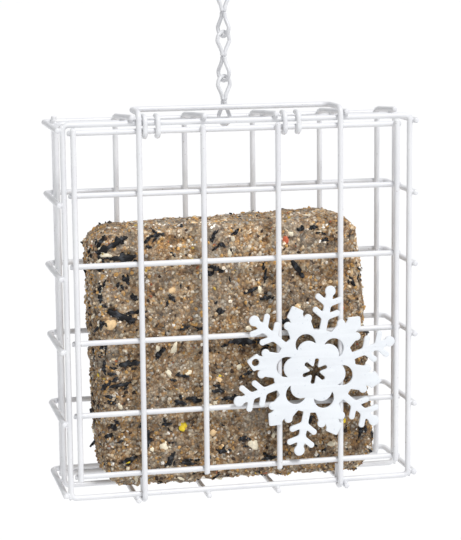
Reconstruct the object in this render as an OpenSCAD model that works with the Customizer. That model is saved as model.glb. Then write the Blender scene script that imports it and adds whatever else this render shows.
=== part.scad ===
// Hanging suet feeder: a square cage of white coated wire, a wire door that is
// hinged along its bottom edge and carries a sheet-metal snowflake, a cake of
// suet inside, and a jack chain with a hook above. Millimetres, +Z up.
// The origin is where a branch or bracket carries the hook, on the underside
// of the hook's bend. Facing the door, +X is to the right and +Y to the back.
// Inside the modules, places are measured in the cage's own coordinates: X = 0
// in the middle of the cage, Y = 0 at the front ring and Z = 0 near its floor.

/* [Wire] */
// Diameter of the coated wire of the cage and the door
wire_d = 2; // [1.8:0.1:2.1]
// Diameter of the thinner wire of the four clips at the top of the door
clip_wire_d = 1.8; // [1.6:0.1:1.8]
// Diameter of the chain's wire
chain_wire_d = 1.4; // [1.2:0.1:1.5]
// Diameter of the hook's wire
hook_wire_d = 1.8; // [1.6:0.1:2]

/* [Cage] */
// Width of the cage over its side bands
cage_w = 132; // [130:1:150]
// Depth from the front ring to the band wires across the back
cage_depth = 37; // [37:1:50]
// Height of the front ring between its bottom and top wires
front_ring_h = 133.8; // [133.5:0.1:135]
// Height of the middle ring, which carries the chain
mid_ring_h = 132.6; // [132.3:0.1:133]
// Distance of the middle ring behind the front ring
mid_ring_y = 17.8; // [17:0.1:19]
// Number of U-shaped bands round the sides and back
band_count = 6; // [4:1:8]
// Spread of the back uprights, between the two outermost ones
upright_spread = 122.8; // [121:0.1:123]

/* [Door] */
// Height of the door's plain uprights
door_h = 125.1; // [124:0.1:125.5]
// Distance from the middle of the door to each leg of its hoop
hoop_leg_x = 36.5; // [36:0.1:36.5]
// Distance of the hoop's rear bar behind the front ring
hoop_reach = 13.5; // [12:0.1:13.8]
// Height of the hoop's rails
hoop_z = 136.7; // [136.7:0.1:138]
// Running clearance between the hinge curls and the wire that they turn on
hinge_play = 0.05; // [0.02:0.01:0.1]

/* [Snowflake] */
// Distance from the middle of the snowflake to the middle of an arm's bulb
flake_arm = 29.8; // [28:0.1:31]
// Angle of the first long arm above the +X direction
flake_turn = 18.6; // [0:0.1:59]
// Thickness of the snowflake's sheet
flake_t = 1; // [0.8:0.1:1.5]

/* [Suet cake] */
// Thickness of the cake, front to back
cake_t = 29; // [26:0.5:29]
// Radius of the cake's rounded corners
cake_corner_r = 9.5; // [6:0.5:12]

/* [Chain and hook] */
// Length of a chain link between the middles of its end wires
link_len = 17.6; // [16:0.1:20]
// Width of a link's loop between the middles of its side wires
link_w = 5.2; // [5:0.1:6]
// Distance of the chain to the right of the middle of the cage
chain_x = -1.6; // [-3:0.1:3]
// Direction of the upper loop of every link, seen from above
link_turn = 30; // [20:1:40]
// Radius of the hook's open bend, at the middle of its wire
hook_bend_r = 7; // [6.5:0.5:8]

/* [Hidden] */
$fn = 48;

white = [0.95, 0.95, 0.97];
wire_r = wire_d / 2;
clip_r = clip_wire_d / 2;
chain_r = chain_wire_d / 2;
hook_r = hook_wire_d / 2;
kink_swelling = 0.08;

// The two rings, with the side bands welded to their outsides
ring_bottom_z = -0.8;
front_ring_top_z = ring_bottom_z + front_ring_h;
mid_ring_top_z = ring_bottom_z + mid_ring_h;
ring_corner_r = 2;
band_x = cage_w / 2 - wire_r;
ring_x = band_x - wire_d;

// The bands, evenly spaced from the floor to just under the rings' tops
band_low_z = 0.5;
band_high_z = 131.2;
band_pitch = (band_high_z - band_low_z) / (band_count - 1);
band_front_y = -1.5;
wire_bend_r = 3;

// The uprights stand inside the bands across the back. The bottom runs of the
// inner ones pass under both rings and their top runs rest on them, sloping
// with them.
upright_count = 6;
upright_y = cage_depth - wire_d;
run_front_y = -2;
run_kink_y = 30.5;
run_bottom_z = ring_bottom_z - wire_d;
outer_reach_y = 13;
outer_foot_z = -0.45;
run_slope = (front_ring_top_z - mid_ring_top_z) / mid_ring_y;
run_lift = wire_d * sqrt(1 + run_slope * run_slope);

rear_floor_z = -1.5;
rear_floor_y = cage_depth - 0.4;

// The door hangs in front of the front ring: crossbars level with the ring,
// uprights and hoop legs in front of the crossbars
hinge_r = wire_d + hinge_play;
leg_y = -hinge_r;
crossbar_y = leg_y + wire_d;
door_foot_z = 6;
hoop_bend_r = 2.5;
hinge_tail_z = 4.6;
door_left_x = -60.4;
door_right_x = 58.4;
// The door's wires are welded by eye, so they are not evenly spaced
door_upright_x = [-59.6, -13.6, 13.5, 57.6];
door_crossbar_z = [7, 29.3, 55.5, 83.1, 108.2, 130.15];

// The clips curl under the top crossbar and reach back over the front ring
clip_x = [-34.2, -29.6, 16.2, 21.2];
clip_wrap_r = wire_r + clip_r;
clip_foot_y = 0.9;
clip_bend_r = 2.2;
clip_top_z = front_ring_top_z + wire_r + clip_r + 0.3;
clip_reach_y = 3;

// The snowflake, in millimetres from its middle along and across an arm
flake_x = 26.3;
flake_z = 41.5;
flake_bulb_r = 1.95;
flake_stem_r = 1.35;
flake_twig_r = 1.1;
end_bead = 0.04;
flake_twig_roots = [flake_arm - 9.9, flake_arm - 5];
flake_twig_len = 4.7;
flake_twig_turn = 60;
flake_ring_r = 15.4;
lobe_half_w = 4.6;
lobe_end = 19.4;
lobe_ear_w = 3.9;
lobe_ear_r = 1.5;
lobe_tip_at = 22.5;
lobe_tip_side = 4.8;
lobe_neck_half_w = 2.6;
lobe_neck_end = 21.9;
crescent_at = 10.7;
crescent_r = 3.75;
petal_at = 7.6;
petal_r = 4.1;
star_core_r = 1.95;
star_slot_end = 4;
star_slot_r = 0.78;
eyelet_r = 1.35;

// Corners of the cake's outline, which settled a little out of square
cake_front_y = 3.8;
cake_low_left = [-50.5, 0.3];
cake_low_right = [53, 0.3];
cake_high_right = [46, 97];
cake_high_left = [-53, 94.5];
cake_edge = 2.5;

// The chain hangs its last link round the middle ring's top wire. Each link
// rests in the next with a little play.
link_play = 0.3;
last_link_z = mid_ring_top_z - wire_r - chain_r - 0.15;
link_pitch = link_len - chain_wire_d - link_play;
link_shoulder = 5.6;
link_knuckle_r = 1.75;
chain_count = 3;
chain_top_z = last_link_z + (chain_count - 1) * link_pitch + link_len;

// The hook's closed eye, its cranked stem and its open bend
eye_r = 3.2;
eye_bend_r = 1.9;
eye_gap = 0.05;
eye_z = chain_top_z - chain_r - hook_r - link_play + eye_r;
stem_z = eye_z + eye_r;
stem_low = 4;
stem_high = 16.2;
tip_drop = 9;
hook_top_z = stem_z + stem_low + stem_high;
seat_z = hook_top_z - hook_r;

// Height of band number i, counted from 1 at the bottom
function band_z(i) = band_low_z + (i - 1) * band_pitch;

// Place of back upright number i, counted from 1 at the left. The middle
// spaces are wider than the outer ones, which take in the ring's corners.
upright_space = 25.9;
function upright_x(i) =
    i == 1 ? -upright_spread / 2 :
    i == upright_count ? upright_spread / 2 :
    (i - 3.5) * upright_space;

// Height of a top run's middle at depth y, touching both rings from above
function run_top_z(y) = front_ring_top_z + run_lift - run_slope * y;

// Signed turn of a path at its point i, in degrees
function turn_at(path, i) =
    let (
        before = path[i] - path[i - 1],
        after = path[i + 1] - path[i],
        turn = atan2(after.y, after.x) - atan2(before.y, before.x)
    )
    turn > 180 ? turn - 360 : turn < -180 ? turn + 360 : turn;

// Whether a path turns a square corner at its point i
function is_square(path, i) = abs(abs(turn_at(path, i)) - 90) < 0.001;

// How far a square corner's bend eats into the straight wire on either side
function cut_at(path, bends, i) =
    i == 0 || i == len(path) - 1 ? 0 : is_square(path, i) ? bends[i - 1] : 0;

// A length rounded to a hundredth of a millimetre
function rounded(length) = round(length * 100) / 100;

// A wire of radius r along a flat path. Square corners are bends, with one
// radius for each corner, and any other corner is a slightly swollen kink.
module bent_wire(path, bends, r) {
    for (i = [0 : len(path) - 2]) {
        way = path[i + 1] - path[i];
        start = cut_at(path, bends, i);
        straight = norm(way) - start - cut_at(path, bends, i + 1);
        if (straight > 0.001)
            translate(path[i] + way * start / norm(way))
                rotate([0, 90, atan2(way.y, way.x)])
                    cylinder(h = straight, r = r);
    }
    for (i = [1 : 1 : len(path) - 2])
        if (is_square(path, i))
            square_bend(path, bends[i - 1], i, r);
        else
            translate(path[i])
                sphere(r = (r + kink_swelling) / cos(turn_at(path, i) / 2));
}

// The square bend at point i of a path: a quarter ring between its straights
module square_bend(path, bend, i, r) {
    before = path[i] - path[i - 1];
    after = path[i + 1] - path[i];
    middle = path[i] + bend * (after / norm(after) - before / norm(before));
    turn = turn_at(path, i);
    heading = atan2(before.y, before.x);
    translate(middle)
        rotate([0, 0, turn > 0 ? heading - 90 : heading])
            rotate_extrude(angle = 90)
                translate([bend, 0])
                    circle(r = r);
}

// Puts a flat path into the plane across the cage at depth y
module in_front_plane(y) {
    translate([0, y, 0])
        rotate([90, 0, 0])
            children();
}

// Puts a flat path into the plane from front to back at width x
module in_side_plane(x) {
    translate([x, 0, 0])
        rotate([90, 0, 90])
            children();
}

// Moves the cage's coordinates to the part's origin at the hook's seat
module at_seat() {
    translate([-chain_x, -mid_ring_y, -seat_z])
        children();
}

// A closed ring with rounded corners, standing across the cage
module ring(y, top_z) {
    at_seat()
        in_front_plane(y)
            bent_wire(
                [
                    [0, ring_bottom_z], [ring_x, ring_bottom_z], [ring_x, top_z],
                    [-ring_x, top_z], [-ring_x, ring_bottom_z], [0, ring_bottom_z]
                ],
                [ring_corner_r, ring_corner_r, ring_corner_r, ring_corner_r],
                wire_r
            );
}

module front_ring() {
    color(white)
        ring(0, front_ring_top_z);
}

module mid_ring() {
    color(white)
        ring(mid_ring_y, mid_ring_top_z);
}

module rear_floor_wire() {
    color(white)
        at_seat()
            translate([-ring_x + 1, rear_floor_y, rear_floor_z])
                rotate([0, 90, 0])
                    cylinder(h = 2 * ring_x - 2, r = wire_r);
}

// One U-shaped wire round the left side, the back and the right side
module side_band(i) {
    color(white)
        at_seat()
            translate([0, 0, band_z(i)])
                bent_wire(
                    [
                        [-band_x, band_front_y], [-band_x, cage_depth],
                        [band_x, cage_depth], [band_x, band_front_y]
                    ],
                    [wire_bend_r, wire_bend_r],
                    wire_r
                );
}

// One wire up the back. The inner ones also run under the floor and over the
// top, where they kink to follow the slope from the middle ring up to the
// front ring. The first is straight, and the last reaches over the middle ring.
module back_upright(i) {
    kink_z = rounded(run_top_z(run_kink_y));
    inner = i > 1 && i < upright_count;
    reach_y = inner ? run_front_y : outer_reach_y;
    foot = inner
        ? [[run_front_y, run_bottom_z], [upright_y, run_bottom_z]]
        : [[upright_y, outer_foot_z]];
    head = i == 1
        ? []
        : [[run_kink_y, kink_z], [reach_y, rounded(run_top_z(reach_y))]];
    color(white)
        at_seat()
            in_side_plane(upright_x(i))
                bent_wire(
                    concat(foot, [[upright_y, kink_z]], head),
                    [wire_bend_r, inner ? wire_bend_r : 0, 0],
                    wire_r
                );
}

// One wire for both long legs of the door: it curls round the front ring's
// bottom wire at each end and folds back at the top into a flat hoop
module door_hoop_wire() {
    rail_start_y = 2;
    color(white)
        at_seat() {
            for (x = [-hoop_leg_x, hoop_leg_x])
                in_side_plane(x)
                    bent_wire(
                        [
                            [hinge_r, hinge_tail_z], [hinge_r, ring_bottom_z - hinge_r],
                            [leg_y, ring_bottom_z - hinge_r], [leg_y, hoop_z],
                            [rail_start_y, hoop_z]
                        ],
                        [hinge_r, hinge_r, hoop_bend_r],
                        wire_r
                    );
            translate([0, 0, hoop_z])
                bent_wire(
                    [
                        [-hoop_leg_x, rail_start_y], [-hoop_leg_x, hoop_reach],
                        [hoop_leg_x, hoop_reach], [hoop_leg_x, rail_start_y]
                    ],
                    [wire_bend_r, wire_bend_r],
                    wire_r
                );
        }
}

module door_upright(i) {
    color(white)
        at_seat()
            translate([door_upright_x[i - 1], leg_y, door_foot_z])
                cylinder(h = door_h, r = wire_r);
}

module door_crossbar(i) {
    color(white)
        at_seat()
            translate([door_left_x, crossbar_y, door_crossbar_z[i - 1]])
                rotate([0, 90, 0])
                    cylinder(h = door_right_x - door_left_x, r = wire_r);
}

// One clip: its foot turns under the door's top crossbar, it passes in front
// of the front ring's top wire and bends back over it
module clip_hook(i) {
    clip_y = crossbar_y - clip_wrap_r;
    foot_z = door_crossbar_z[len(door_crossbar_z) - 1] - clip_wrap_r;
    color(white)
        at_seat()
            in_side_plane(clip_x[i - 1])
                bent_wire(
                    [
                        [clip_foot_y, foot_z], [clip_y, foot_z],
                        [clip_y, clip_top_z], [clip_reach_y, clip_top_z]
                    ],
                    [clip_wrap_r, clip_bend_r],
                    clip_r
                );
}

// A flat bar with round ends that stand a hair proud of its sides
module slot_shape(from, to, r) {
    translate(from)
        circle(r = r);
    translate(to)
        circle(r = r);
    way = to - from;
    translate(from)
        rotate(atan2(way.y, way.x))
            translate([0, end_bead - r])
                square([norm(way), 2 * (r - end_bead)]);
}

// One long arm along +X: a stem with two pairs of twigs and a bulb
module flake_long_arm() {
    slot_shape([10, 0], [flake_arm - 1, 0], flake_stem_r);
    translate([flake_arm, 0])
        circle(r = flake_bulb_r);
    for (root = flake_twig_roots, side = [-1, 1])
        slot_shape(
            [root, 0],
            [
                root + flake_twig_len * cos(flake_twig_turn),
                side * flake_twig_len * sin(flake_twig_turn)
            ],
            flake_twig_r
        );
}

// One short arm along +X: a broad block with two round ears, and a neck that
// carries a square tip with one corner outwards
module flake_short_arm() {
    translate([10, -lobe_half_w])
        square([lobe_end - 10, 2 * lobe_half_w]);
    translate([10, -lobe_neck_half_w])
        square([lobe_neck_end - 10, 2 * lobe_neck_half_w]);
    for (side = [-1, 1])
        translate([lobe_end, side * lobe_ear_w])
            circle(r = lobe_ear_r);
    translate([lobe_tip_at, 0])
        rotate(45)
            square(lobe_tip_side, center = true);
}

// The snowflake's outline with its crescents, star and hanging eyelet cut out
module flake_shape() {
    difference() {
        union() {
            circle(r = flake_ring_r);
            for (k = [0 : 5]) {
                rotate(60 * k)
                    flake_long_arm();
                rotate(60 * k + 30)
                    flake_short_arm();
            }
        }
        for (k = [0 : 5]) {
            rotate(60 * k + 30)
                difference() {
                    translate([crescent_at, 0])
                        circle(r = crescent_r);
                    translate([petal_at, 0])
                        circle(r = petal_r);
                }
            rotate(60 * k)
                slot_shape([star_core_r / 2, 0], [star_slot_end, 0], star_slot_r);
        }
        circle(r = star_core_r);
        rotate(150)
            translate([lobe_tip_at, 0])
                circle(r = eyelet_r);
    }
}

module snowflake() {
    color([0.93, 0.95, 0.98])
        at_seat()
            translate([flake_x, leg_y - wire_r, flake_z])
                rotate([90, 0, 0])
                    linear_extrude(height = flake_t)
                        rotate(flake_turn)
                            flake_shape();
}

// The cake: four rounded corner pucks drawn together
module suet_cake() {
    r = cake_corner_r;
    corners = [
        cake_low_left + [r, r], cake_low_right + [-r, r],
        cake_high_right + [-r, -r], cake_high_left + [r, -r]
    ];
    color([0.58, 0.48, 0.36])
        at_seat()
            in_front_plane(cake_front_y + cake_t)
                hull()
                    for (corner = corners)
                        translate(corner) {
                            cylinder(h = cake_t, r = r - cake_edge, $fn = 32);
                            translate([0, 0, cake_edge])
                                cylinder(h = cake_t - 2 * cake_edge, r = r, $fn = 32);
                        }
}

// One loop of a link, opening upwards from the middle of its waist: a half
// ring over the end and two sides that kink in towards the waist
module link_loop() {
    half = link_w / 2;
    end = link_len / 2;
    rotate([90, 0, 0])
        bent_wire(
            [
                [0, 0], [-half, link_shoulder], [-half, end],
                [half, end], [half, link_shoulder], [0, 0]
            ],
            [0, half, half, 0],
            chain_r
        );
}

// Link number i, counted from 1 at the top: two loops at a right angle, which
// meet in a knuckle at the waist
module chain_link(i) {
    waist_z = last_link_z + (chain_count - i) * link_pitch + link_len / 2;
    color(white)
        at_seat()
            translate([chain_x, mid_ring_y, waist_z]) {
                rotate([0, 0, link_turn])
                    link_loop();
                rotate([0, 0, link_turn + 90])
                    mirror([0, 0, 1])
                        link_loop();
                sphere(r = link_knuckle_r);
            }
}

// The hook, one wire: it starts against its own stem, goes round the eye that
// holds the top link, up the cranked stem and over the open bend
module hanging_hook() {
    crank_z = stem_z + stem_low;
    crank_bend_r = (hook_bend_r - eye_r) / 2;
    color(white)
        at_seat()
            translate([chain_x, mid_ring_y, 0])
                rotate([0, 0, link_turn + 90])
                    rotate([90, 0, 0])
                        bent_wire(
                            [
                                [-eye_r + hook_r + eye_gap, stem_z], [eye_r, stem_z],
                                [eye_r, eye_z - eye_r], [-eye_r, eye_z - eye_r],
                                [-eye_r, crank_z], [-hook_bend_r, crank_z],
                                [-hook_bend_r, hook_top_z], [hook_bend_r, hook_top_z],
                                [hook_bend_r, hook_top_z - tip_drop]
                            ],
                            [
                                eye_bend_r, eye_bend_r, eye_bend_r,
                                crank_bend_r, crank_bend_r, hook_bend_r, hook_bend_r
                            ],
                            hook_r
                        );
}

front_ring();
mid_ring();
rear_floor_wire();
side_band(1);  // side_band_1
side_band(2);  // side_band_2
side_band(3);  // side_band_3
side_band(4);  // side_band_4
side_band(5);  // side_band_5
side_band(6);  // side_band_6
back_upright(1);  // back_upright_1
back_upright(2);  // back_upright_2
back_upright(3);  // back_upright_3
back_upright(4);  // back_upright_4
back_upright(5);  // back_upright_5
back_upright(6);  // back_upright_6
door_hoop_wire();
door_upright(1);  // door_upright_1
door_upright(2);  // door_upright_2
door_upright(3);  // door_upright_3
door_upright(4);  // door_upright_4
door_crossbar(1);  // door_crossbar_1
door_crossbar(2);  // door_crossbar_2
door_crossbar(3);  // door_crossbar_3
door_crossbar(4);  // door_crossbar_4
door_crossbar(5);  // door_crossbar_5
door_crossbar(6);  // door_crossbar_6
clip_hook(1);  // clip_hook_1
clip_hook(2);  // clip_hook_2
clip_hook(3);  // clip_hook_3
clip_hook(4);  // clip_hook_4
snowflake();
suet_cake();
chain_link(1);  // chain_link_1
chain_link(2);  // chain_link_2
chain_link(3);  // chain_link_3
hanging_hook();
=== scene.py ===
"""Looks of the hanging suet feeder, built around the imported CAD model.

Places are worked out from the frame: `at(x, y, z)` takes millimetres in the
cage's own coordinates (x = 0 in the middle, y = 0 at the front ring, z = 0 near
the floor) and returns a point of the row frame in metres.
"""
import math

import bmesh
import bpy
import numpy as np
from mathutils import Matrix, Vector, noise
from mathutils.bvhtree import BVHTree


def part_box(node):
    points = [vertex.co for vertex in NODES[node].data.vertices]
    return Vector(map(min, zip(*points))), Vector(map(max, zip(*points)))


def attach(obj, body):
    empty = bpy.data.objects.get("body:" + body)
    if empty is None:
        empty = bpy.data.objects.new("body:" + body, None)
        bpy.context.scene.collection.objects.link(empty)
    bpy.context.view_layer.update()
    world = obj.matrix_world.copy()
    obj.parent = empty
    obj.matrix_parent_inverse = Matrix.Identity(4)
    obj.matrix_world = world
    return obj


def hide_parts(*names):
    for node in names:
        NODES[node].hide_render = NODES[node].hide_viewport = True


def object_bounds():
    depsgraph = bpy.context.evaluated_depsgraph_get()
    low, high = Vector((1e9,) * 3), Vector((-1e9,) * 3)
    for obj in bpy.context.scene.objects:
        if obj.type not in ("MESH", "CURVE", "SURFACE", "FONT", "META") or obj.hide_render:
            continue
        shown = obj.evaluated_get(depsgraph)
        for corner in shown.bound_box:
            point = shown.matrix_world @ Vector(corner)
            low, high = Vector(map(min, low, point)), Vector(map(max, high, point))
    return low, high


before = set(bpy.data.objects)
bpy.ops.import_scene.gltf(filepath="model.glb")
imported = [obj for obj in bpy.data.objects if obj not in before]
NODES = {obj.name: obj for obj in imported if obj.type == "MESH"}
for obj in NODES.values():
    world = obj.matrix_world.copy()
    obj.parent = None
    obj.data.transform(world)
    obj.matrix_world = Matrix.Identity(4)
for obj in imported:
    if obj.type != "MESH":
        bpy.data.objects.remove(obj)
cad_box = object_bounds()

MM = 0.001
SEED = 20
rng = np.random.default_rng(SEED)

# ---------------------------------------------------------------- the frame
# Sizes that the CAD model has too, in millimetres
WIRE_R = 1.0
CLIP_R = 0.9
CHAIN_R = 0.7
HOOK_R = 0.9
RING_BOTTOM_Z = -0.8
CLIP_FOOT_Y = 0.9
HINGE_TAIL_Y, HINGE_TAIL_Z = 2.05, 4.6


def cage_origin():
    """Where the cage's own coordinates start, as a point of the row frame."""
    low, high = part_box("front_ring")
    bottom = low[2] + (WIRE_R - RING_BOTTOM_Z) * MM
    return Vector(((low[0] + high[0]) / 2, (low[1] + high[1]) / 2, bottom))


CAGE = cage_origin()


def at(x, y, z):
    """A point of the cage, in millimetres, as a point of the row frame."""
    return CAGE + Vector((x, y, z)) * MM


def middle(node):
    """The middle of a CAD node's box, in the cage's millimetres."""
    low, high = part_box(node)
    return (Vector(low) / 2 + Vector(high) / 2 - CAGE) / MM


def span(node):
    """The lowest and highest corner of a CAD node, in the cage's millimetres."""
    low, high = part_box(node)
    return (Vector(low) - CAGE) / MM, (Vector(high) - CAGE) / MM


# ---------------------------------------------------------------- materials
def adder(tree):
    """A helper that adds a node to a tree, links it and sets its sockets."""

    def add(kind, links=None, props=None, **values):
        node = tree.nodes.new(kind)
        for key, value in (props or {}).items():
            setattr(node, key, value)
        for key, value in values.items():
            node.inputs[key.replace("_", " ")].default_value = value
        for key, socket in (links or {}).items():
            tree.links.new(socket, node.inputs[key])
        return node

    return add


def new_material(name):
    """A fresh material with its node tree, its shader and its adder."""
    material = bpy.data.materials.new(name)
    material.use_nodes = True
    tree = material.node_tree
    return material, tree, tree.nodes["Principled BSDF"], adder(tree)


def ramp(add, source, stops, interpolation="LINEAR"):
    """A colour ramp over source with (position, colour) stops, in order."""
    node = add("ShaderNodeValToRGB", {"Fac": source})
    node.color_ramp.interpolation = interpolation
    elements = node.color_ramp.elements
    elements[0].position, elements[0].color = stops[0][0], (*stops[0][1], 1)
    elements[1].position, elements[1].color = stops[-1][0], (*stops[-1][1], 1)
    for position, colour in stops[1:-1]:
        element = elements.new(position)
        element.color = (*colour, 1)
    return node.outputs["Color"]


def mix(add, factor, a, b, blend="MIX"):
    """Mixes two colours by a factor; each is a socket or a plain value."""
    node = add("ShaderNodeMix", props={"data_type": "RGBA", "blend_type": blend})
    for index, value in ((0, factor), (6, a), (7, b)):
        socket = node.inputs[index]
        if isinstance(value, bpy.types.NodeSocket):
            node.id_data.links.new(value, socket)
        elif index == 0:
            socket.default_value = value
        else:
            socket.default_value = (*value, 1)
    return node.outputs[2]


def noisy(add, where, scale, detail, rough=0.5, output="Fac"):
    """A noise texture's output over a surface."""
    return add(
        "ShaderNodeTexNoise", {"Vector": where}, Scale=scale, Detail=detail, Roughness=rough
    ).outputs[output]


def ranged(add, source, low, high):
    """A number that runs from low to high as source goes from 0 to 1."""
    return add("ShaderNodeMapRange", {"Value": source}, To_Min=low, To_Max=high).outputs["Result"]


def bumped(add, height, strength, distance, under=None, invert=False):
    """A bump's normal, over another bump's if one is given; distance in mm."""
    links = {"Height": height}
    if under is not None:
        links["Normal"] = under
    return add(
        "ShaderNodeBump", links, {"invert": invert}, Strength=strength, Distance=distance * MM
    ).outputs["Normal"]


def dress(tree, shader, colour, roughness, normal, **values):
    """Links a shader's colour, roughness and normal, and sets other sockets."""
    for key, socket in (("Base Color", colour), ("Roughness", roughness), ("Normal", normal)):
        tree.links.new(socket, shader.inputs[key])
    for key, value in values.items():
        shader.inputs[key.replace("_", " ")].default_value = value


def coated_metal(name, pale, dark, fleck, roughness, grain):
    """Baked-on powder coat: slightly uneven white with faint orange peel."""
    material, tree, shader, add = new_material(name)
    where = add("ShaderNodeTexCoord").outputs["Object"]
    cloud = noisy(add, where, 70, 3, 0.55)
    speck = noisy(add, where, 900, 2, 0.6)
    tone = ramp(add, cloud, [(0.32, dark), (0.62, pale)])
    chips = ramp(add, speck, [(0.27, (1, 1, 1)), (0.31, (0, 0, 0))])
    gloss = ranged(add, cloud, roughness - 0.07, roughness + 0.09)
    peel = bumped(add, noisy(add, where, grain, 3), 0.22, 0.08)
    drift = bumped(add, noisy(add, where, 260, 2), 0.35, 0.3, under=peel)
    dress(
        tree, shader, mix(add, chips, tone, fleck), gloss, drift,
        Coat_Weight=0.25, Coat_Roughness=0.3, Specular_IOR_Level=0.4,
    )
    return material


# The cake is lighter towards its top and darker low down, partly where more of the
# fat shows and partly as painted light from above: two heights in millimetres and
# the tint's factor at each
FAT_AND_TOP_LIGHT_FROM, FAT_AND_TOP_LIGHT_TO = 40, 97
FAT_AND_TOP_LIGHT_RANGE = (0.86, 1.22)


def suet_body():
    """Pressed suet: crushed grain of many colours set in greyish fat."""
    material, tree, shader, add = new_material("suet_body")
    where = add("ShaderNodeTexCoord").outputs["Object"]
    wobble = noisy(add, where, 500, 2, output="Color")
    bent = add("ShaderNodeVectorMath", {0: wobble}, {"operation": "SCALE"}, Scale=1.2 * MM)
    spot = add(
        "ShaderNodeVectorMath", {0: where, 1: bent.outputs["Vector"]}, {"operation": "ADD"}
    ).outputs["Vector"]
    fine = add("ShaderNodeTexVoronoi", {"Vector": spot}, Scale=1150)
    coarse = add("ShaderNodeTexVoronoi", {"Vector": spot}, Scale=520)
    grit = noisy(add, where, 1500, 3, 0.65)
    patch = noisy(add, where, 62, 4, 0.6)
    cloud = noisy(add, where, 330, 3, 0.6)
    fine_pick = add("ShaderNodeSeparateColor", {"Color": fine.outputs["Color"]})
    coarse_pick = add("ShaderNodeSeparateColor", {"Color": coarse.outputs["Color"]})
    grains = ramp(add, fine_pick.outputs["Red"], [
        (0.0, (0.028, 0.017, 0.012)), (0.15, (0.200, 0.105, 0.046)),
        (0.28, (0.410, 0.250, 0.120)), (0.46, (0.520, 0.285, 0.095)),
        (0.60, (0.390, 0.310, 0.225)), (0.74, (0.640, 0.510, 0.350)),
        (0.90, (0.920, 0.860, 0.740)),
    ], "CONSTANT")
    lumps = ramp(add, coarse_pick.outputs["Green"], [
        (0.0, (0.120, 0.072, 0.042)), (0.20, (0.410, 0.240, 0.105)),
        (0.50, (0.440, 0.305, 0.170)), (0.80, (0.700, 0.580, 0.410)),
    ], "CONSTANT")
    fat = ramp(add, grit, [(0.35, (0.240, 0.215, 0.180)), (0.68, (0.520, 0.475, 0.405))])
    waxy = ramp(add, patch, [(0.46, (0.05, 0.05, 0.05)), (0.66, (0.6, 0.6, 0.6))])
    light = ramp(add, cloud, [
        (0.34, (0.52, 0.50, 0.48)), (0.5, (0.95, 0.95, 0.95)), (0.66, (1.3, 1.28, 1.25)),
    ])
    height = add("ShaderNodeSeparateXYZ", {"Vector": where}).outputs["Z"]
    # The tint by height: lighter towards the top, partly the fat that shows there and partly
    # painted light from above
    fat_and_top_light = add(
        "ShaderNodeMapRange", {"Value": height},
        From_Min=at(0, 0, FAT_AND_TOP_LIGHT_FROM).z, From_Max=at(0, 0, FAT_AND_TOP_LIGHT_TO).z,
        To_Min=FAT_AND_TOP_LIGHT_RANGE[0], To_Max=FAT_AND_TOP_LIGHT_RANGE[1],
    ).outputs["Result"]
    # Painted shade in the gaps between the grains: darker towards each grain's edge, where the
    # relief sinks in
    painted_gap_shade = ramp(add, fine.outputs["Distance"], [(0.25, (1, 1, 1)), (0.85, (0.34, 0.30, 0.26))])
    body = mix(add, waxy, mix(add, 0.4, grains, lumps), fat)
    # In turn: the random cloud tint, the tint by height with its painted light from above, and
    # the painted shade in the gaps
    for factor, shade in ((0.85, light), (1.0, fat_and_top_light), (0.6, painted_gap_shade)):
        body = mix(add, factor, body, shade, "MULTIPLY")
    pores = bumped(add, grit, 0.5, 0.3)
    relief = bumped(add, fine.outputs["Distance"], 0.7, 0.5, under=pores, invert=True)
    dress(
        tree, shader, body, ranged(add, patch, 0.78, 0.48), relief,
        Subsurface_Weight=0.08, Subsurface_Radius=(1.2 * MM, 0.8 * MM, 0.5 * MM),
        Specular_IOR_Level=0.35,
    )
    return material


def tinted(name, roughness, spread, scale, depth, gloss, stripe=0.0):
    """Grains and hulls: each piece's own tint, mottled and slightly rough.

    spread is how far the mottling goes, and depth its relief in millimetres.
    stripe is the strength of the pale lines along a sunflower hull.
    """
    material, tree, shader, add = new_material(name)
    where = add("ShaderNodeTexCoord").outputs["Object"]
    tint = add("ShaderNodeAttribute", props={"attribute_name": "tint"}).outputs["Color"]
    mottle = noisy(add, where, scale, 4, 0.6)
    shade = ramp(add, mottle, [(0.3, (1 - spread,) * 3), (0.7, (1 + spread,) * 3)])
    colour = mix(add, 1.0, tint, shade, "MULTIPLY")
    if stripe:
        along = add("ShaderNodeAttribute", props={"attribute_name": "grain"}).outputs["Vector"]
        lines = add("ShaderNodeTexWave", {"Vector": along}, Scale=1.4, Distortion=2.5, Detail=2)
        pale = ramp(add, lines.outputs["Fac"], [(0.72, (0, 0, 0)), (0.98, (stripe,) * 3)])
        colour = mix(add, pale, colour, (0.13, 0.14, 0.16))
    rough = ranged(add, mottle, roughness - 0.12, roughness + 0.12)
    relief = bumped(add, mottle, 0.6, depth)
    dress(tree, shader, colour, rough, relief, Specular_IOR_Level=gloss)
    return material


WIRE_COAT = coated_metal(
    "wire_coat", (0.785, 0.79, 0.805), (0.73, 0.735, 0.76), (0.58, 0.57, 0.58), 0.36, 1500
)
CHAIN_COAT = coated_metal(
    "chain_coat", (0.74, 0.745, 0.76), (0.66, 0.665, 0.69), (0.45, 0.44, 0.45), 0.33, 1900
)
SHEET_COAT = coated_metal(
    "sheet_coat", (0.79, 0.82, 0.85), (0.76, 0.79, 0.825), (0.62, 0.66, 0.72), 0.42, 1300
)
SUET_BODY = suet_body()
CRUMBS = tinted("crumbs", 0.66, 0.35, 1400, 0.12, 0.35)
KERNELS = tinted("kernels", 0.5, 0.22, 900, 0.10, 0.35)
HULLS = tinted("hulls", 0.56, 0.4, 700, 0.15, 0.2, stripe=0.4)


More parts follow.
